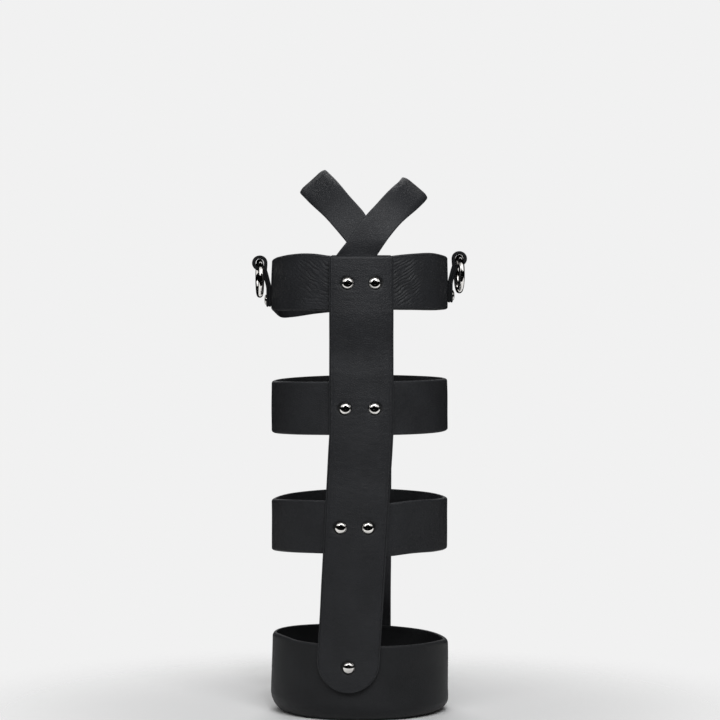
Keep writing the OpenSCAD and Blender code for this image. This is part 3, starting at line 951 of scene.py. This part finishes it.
class CARRIER_OT_straps(bpy.types.Operator):
    """Make the two crossed shoulder straps"""

    bl_idname = "carrier.straps"
    bl_label = "Shoulder Straps"

    def execute(self, context):
        sizes = context.scene.carrier_sizes
        heart = np.array([0.0, 0.0, 205.0])
        for kind, seed in (("right", 71), ("left", 81)):
            grid, near = strap_grid(kind)
            rim = np.clip((np.abs(np.linspace(-1, 1, grid.shape[1])) - 0.66) / 0.34, 0, 1) ** 2
            curl = sizes.strap_curl * near[:, None] * rim[None, :]
            flesh = grid - outwards(grid, grid - heart) * (LEATHER / 2 + curl)[..., None]

            def relief(along, across, base, seed=seed):
                return 0.09 * waves(along, across, 22.0, seed)

            name = kind + "_shoulder_strap"
            strap = leather_strip(
                name, flesh, lambda points: points - heart, edge=(sizes.rim_round, 0.8),
                face_cols=30, back_cols=8, relief=relief,
            )
            finish(strap, "Strip Leather", "leather", name, kind + "_strap_ends", body=None)
            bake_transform(strap)
        return {"FINISHED"}


def keeper_line(low, swing):
    """Flesh side of a keeper in its own plane as (distance out, height): up against its
    other half, a lean out to the ring, round the wire, back and down; and how near each
    point is to the loop."""
    meet, radius, apart, bend = BAND_OUT_R + 1.2, 1.97, (0.01, 0), swing - 12
    split = np.array([RING_X - 1.8, swing - 3.6])
    loop = np.radians(np.linspace(184, -60, 44))
    over = np.stack([RING_X + radius * np.cos(loop), swing + radius * np.sin(loop)], -1)
    lean = bridge((meet, bend), (0, 6.0), split - apart, (2.2, 4.4), 20)
    rise = bridge(split - apart, (0.3, 0.6), over[0], (0.1, 3.0), 12)
    fall = bridge(over[-1], (-1.4, -0.9), split + apart, (-0.9, -1.8), 12)
    straight = np.stack([np.full(24, meet), np.linspace(low, bend, 24)], -1)
    first = np.concatenate([straight[:-1], lean[:-1]])
    last = first[::-1] + (0.02, 0)
    line = np.concatenate([first, rise[:-1], over[:-1], fall, last])
    return line, ease((line[:, 1] - swing + 9) / 7)


class CARRIER_OT_keepers(bpy.types.Operator):
    """Make the folded leather keepers of the rings"""

    bl_idname = "carrier.keepers"
    bl_label = "Ring Keepers"

    def execute(self, context):
        across = np.linspace(-KEEPER_HALF, KEEPER_HALF, 7)[None, :]
        for kind, sign in SIDES:
            inner, near = keeper_line(KEEPER_LOW[kind], SWING_Z[kind])
            tangent = unit(np.gradient(inner, axis=0))
            x, z = sign * inner[:, :1], inner[:, 1:]
            grid = np.stack(np.broadcast_arrays(x, across, z), -1)
            out = np.stack([-sign * tangent[:, 1], 0 * tangent[:, 0], tangent[:, 0]], -1)[:, None]
            name = kind + "_ring_keeper"
            keeper = leather_strip(
                name, grid, lambda points, out=out: out, thick=1.1 + 0.4 * near,
                edge=(0.35, 0.3), face_cols=10, back_cols=4,
            )
            # Keeper leather is the strip leather darkened to 35 %, painted shade
            finish(keeper, "Keeper Leather", "leather", name)
        return {"FINISHED"}


class CARRIER_OT_rings(bpy.types.Operator):
    """Make the two side rings"""

    bl_idname = "carrier.rings"
    bl_label = "Side Rings"

    def execute(self, context):
        steps, sides = context.scene.carrier_sizes.ring_steps, 32
        turn, round_wire = full_turn(steps)[:, None], full_turn(sides)[None, :]
        weld = 0.05 * np.exp(-(((turn - 1.9) / 0.03) ** 2))
        wire_r = RING_WIRE + weld - 0.03
        out = RING_MID + wire_r * np.cos(round_wire)
        deep, wide = wire_r * np.sin(round_wire), out * np.sin(turn)
        cos, sin = math.cos(RING_TURN), math.sin(RING_TURN)
        for kind, sign in SIDES:
            x, z = sign * RING_X + deep * cos - wide * sin, SWING_Z[kind] - RING_DROP
            points = np.stack([x, deep * sin + wide * cos, z + out * np.cos(turn)], -1)
            name = kind + "_ring"
            ring = new_mesh(name, points.reshape(-1, 3), quads(steps, sides, loop=True))
            finish(ring, "Bright Nickel", "nickel", name, body=name)
        return {"FINISHED"}


def cap_profile(rim_r, dome, rim, sunk):
    """Rivet cap as (radius, height): post, underside, rolled rim and a full dome."""
    bead, tall, post_r, post_z = rim / 2, 0.96 * (dome + sunk), 1.45, -3.0
    edge = np.linspace(-math.pi / 2, math.pi / 2, 9)[1:-1]
    arc = np.linspace(0.06, math.pi / 2, 22)[:-1]
    return np.concatenate([
        [(0, post_z), (post_r, post_z), (post_r + 0.05, -sunk), (rim_r - bead, -sunk)],
        np.stack([rim_r - bead + bead * np.cos(edge), bead - sunk + bead * np.sin(edge)], -1),
        np.stack([(rim_r - rim * 0.35) * np.cos(arc), rim - sunk + tall * np.sin(arc)], -1),
        [(0, rim - sunk + tall)],
    ])


class CARRIER_OT_rivets(bpy.types.Operator):
    """Make the rivets and finish their washers"""

    bl_idname = "carrier.rivets"
    bl_label = "Rivets"

    def execute(self, context):
        profile = cap_profile(*CAP, context.scene.carrier_sizes.rivet_dip)
        for face, lean, sign in (("front_", LEAN, -1), ("back_", 0.0, 1)):
            for group, seats in rivet_places(lean).items():
                centres = np.array([
                    (x, sign * math.sqrt(seat * seat - x * x), z) for x, z, seat in seats
                ])
                name = face + group
                rivets = turned_piece(name, profile, centres, radial(centres))
                finish(rivets, "Bright Nickel", "nickel", name)
        low = cap_profile(*KEEPER_CAP, 0.1)
        for kind, sign in SIDES:
            centre = np.array([sign * KEEPER_SEAT_X, 0.0, KEEPER_LOW[kind] + KEEPER_RIVET_RISE])
            name = kind + "_keeper_rivet"
            rivet = turned_piece(name, low, [centre], [(sign, 0, 0)], 48)
            finish(rivet, "Bright Nickel", "nickel", name)
        for name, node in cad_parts.items():
            if name.endswith("washers"):
                for place in node.material_slots:
                    place.material = bpy.data.materials["Washer Nickel"]
        return {"FINISHED"}


def stage_piece(name, points, faces, material_name):
    """A piece of the stage from points in metres."""
    mesh = bpy.data.meshes.new(name)
    mesh.from_pydata([tuple(p) for p in points], [], faces)
    mesh.materials.append(bpy.data.materials[material_name])
    obj = link_object(name, mesh)
    return obj


class CARRIER_OT_stage(bpy.types.Operator):
    """Set the floor, the lamps, the dark flags and the camera"""

    bl_idname = "carrier.stage"
    bl_label = "Studio"

    def floor(self):
        """Pale floor that fades into the background away from the carrier."""
        steps, radius, pale = 64, 1.6, (0.87, 0.87, 0.87, 1)
        turn = full_turn(steps)
        rim = np.stack([radius * np.cos(turn), radius * np.sin(turn), 0 * turn], -1)
        tree = new_material(
            "Floor Paper", Base_Color=pale, Roughness=0.9, Specular_IOR_Level=0.0
        )
        add_node(tree, "place", "TexCoord")
        add_node(tree, "far", "VectorMath", operation="LENGTH")
        add_node(
            tree, "fade", "MapRange", interpolation_type="SMOOTHSTEP",
            in_From_Min=0.06, in_From_Max=0.22,
        )
        add_node(tree, "clear", "BsdfTransparent")
        add_node(tree, "mix", "MixShader")
        wire(
            tree, "place.Object > far.0", "far.Value > fade.Value", "fade.0 > mix.0",
            "Principled BSDF.0 > mix.1", "clear.0 > mix.2", "mix.0 > Material Output.Surface",
        )
        stage_piece("floor", rim, [list(range(steps))], "Floor Paper")

    def flags(self):
        """Dark wall round the set, low in front with a peak in the middle and tall
        elsewhere, a dark ceiling, and dark ground before and behind the carrier. Only
        reflections see them."""
        steps, radius, level = 180, 0.85, 0.2
        turn = full_turn(steps)
        from_front = np.degrees(np.abs((turn + math.pi) % TURN - math.pi))
        rise = np.radians(np.interp(from_front, (0, 36, 84, 94, 180), (64, 15, 13, 62, 40)))
        ring = np.stack([radius * np.sin(turn), -radius * np.cos(turn)], -1)
        wall = np.concatenate([
            np.column_stack([ring, np.full(steps, 0.002)]),
            np.column_stack([ring, level + radius * np.tan(rise)]),
        ])

        def plate(x, y0, y1, z):
            return [(-x, y0, z), (x, y0, z), (x, y1, z), (-x, y1, z)]

        black = (0.004, 0.004, 0.004, 1)
        new_material("Flag Black", Base_Color=black, Specular_IOR_Level=0.0)
        ground = plate(0.9, -0.19, -0.84, 0.001) + plate(0.9, 0.19, 0.84, 0.001)
        for name, points, faces in (
            ("dark_flag", wall, quads(2, steps)),
            ("dark_ground", ground, [[0, 1, 2, 3], [4, 5, 6, 7]]),
            ("dark_ceiling", plate(1.0, -0.35, 0.35, 1.2), [[0, 1, 2, 3]]),
        ):
            flag = stage_piece(name, points, faces, "Flag Black")
            flag.visible_camera = flag.visible_diffuse = flag.visible_shadow = False
            flag.visible_transmission = False

    def lamp(self, name, place, aim, size, power, colour, cone):
        """A soft lamp that looks at a point: a square, or a spot with a soft cone."""
        light = bpy.data.lights.new(name, "SPOT" if cone else "AREA")
        light.energy, light.color = power, colour
        if cone:
            light.shadow_soft_size, light.spot_size = size, math.radians(cone)
            light.spot_blend = 1.0
        else:
            light.shape, light.size = "SQUARE", size
        obj = link_object(name, light)
        obj.location = place
        x, y, z = np.array(aim) - np.array(place)
        obj.rotation_euler = (math.atan2(math.hypot(x, y), -z), 0, math.atan2(-x, y))

    def world(self):
        """Even soft light all round, with the pale background where the camera and
        reflections look."""
        world = bpy.data.worlds.new("Studio")
        bpy.context.scene.world = world
        world.use_nodes = True
        tree = world.node_tree
        add_node(tree, "path", "LightPath")
        add_node(tree, "seen", "Math", operation="MAXIMUM")
        add_node(tree, "also", "Math", operation="MAXIMUM")
        add_node(
            tree, "mix", "Mix", data_type="RGBA",
            in_6=(0.09, 0.0885, 0.087, 1), in_7=(0.88, 0.88, 0.88, 1),
        )
        wire(
            tree, "path.Is Camera Ray > seen.0", "path.Is Glossy Ray > seen.1",
            "seen.0 > also.0", "path.Is Transmission Ray > also.1", "also.0 > mix.0",
            "mix.2 > Background.Color",
        )

    def execute(self, context):
        self.floor()
        self.flags()
        self.world()
        for lamp in LAMPS:
            self.lamp(*lamp)
        camera = bpy.data.cameras.new("camera")
        camera.lens, camera.sensor_width = CAMERA_LENS, 36.0
        obj = link_object("camera", camera)
        obj.location = CAMERA_PLACE
        obj.rotation_euler = (math.radians(90 - CAMERA_DIP), 0, 0)
        context.scene.camera = obj
        context.scene.view_settings.view_transform = "Standard"
        return {"FINISHED"}


class CARRIER_PT_panel(bpy.types.Panel):
    """Lists the carrier's pieces in the sidebar"""

    bl_label = "Bottle Carrier"
    bl_idname = "CARRIER_PT_panel"
    bl_space_type = "VIEW_3D"
    bl_region_type = "UI"
    bl_category = "Bottle Carrier"

    def draw(self, context):
        layout = self.layout
        for group in (context.scene.carrier_sizes, context.scene.carrier_colours):
            for key in group.__annotations__:
                layout.prop(group, key)
        for step in STEPS:
            layout.operator("carrier." + step)


STEPS = ("materials", "bands", "cup", "panels", "straps", "keepers", "rings", "rivets", "stage")
CLASSES = (
    CarrierSizes, CarrierColours, CARRIER_OT_materials, CARRIER_OT_bands, CARRIER_OT_cup,
    CARRIER_OT_panels, CARRIER_OT_straps, CARRIER_OT_keepers, CARRIER_OT_rings,
    CARRIER_OT_rivets, CARRIER_OT_stage, CARRIER_PT_panel,
)


def register():
    for cls in CLASSES:
        bpy.utils.register_class(cls)
    bpy.types.Scene.carrier_sizes = PointerProperty(type=CarrierSizes)
    bpy.types.Scene.carrier_colours = PointerProperty(type=CarrierColours)


def unregister():
    del bpy.types.Scene.carrier_colours
    del bpy.types.Scene.carrier_sizes
    for cls in reversed(CLASSES):
        bpy.utils.unregister_class(cls)


def main():
    """Builds every piece and the studio."""
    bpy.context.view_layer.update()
    register()
    for step in STEPS:
        getattr(bpy.ops.carrier, step)()


if __name__ == "__main__":
    main()
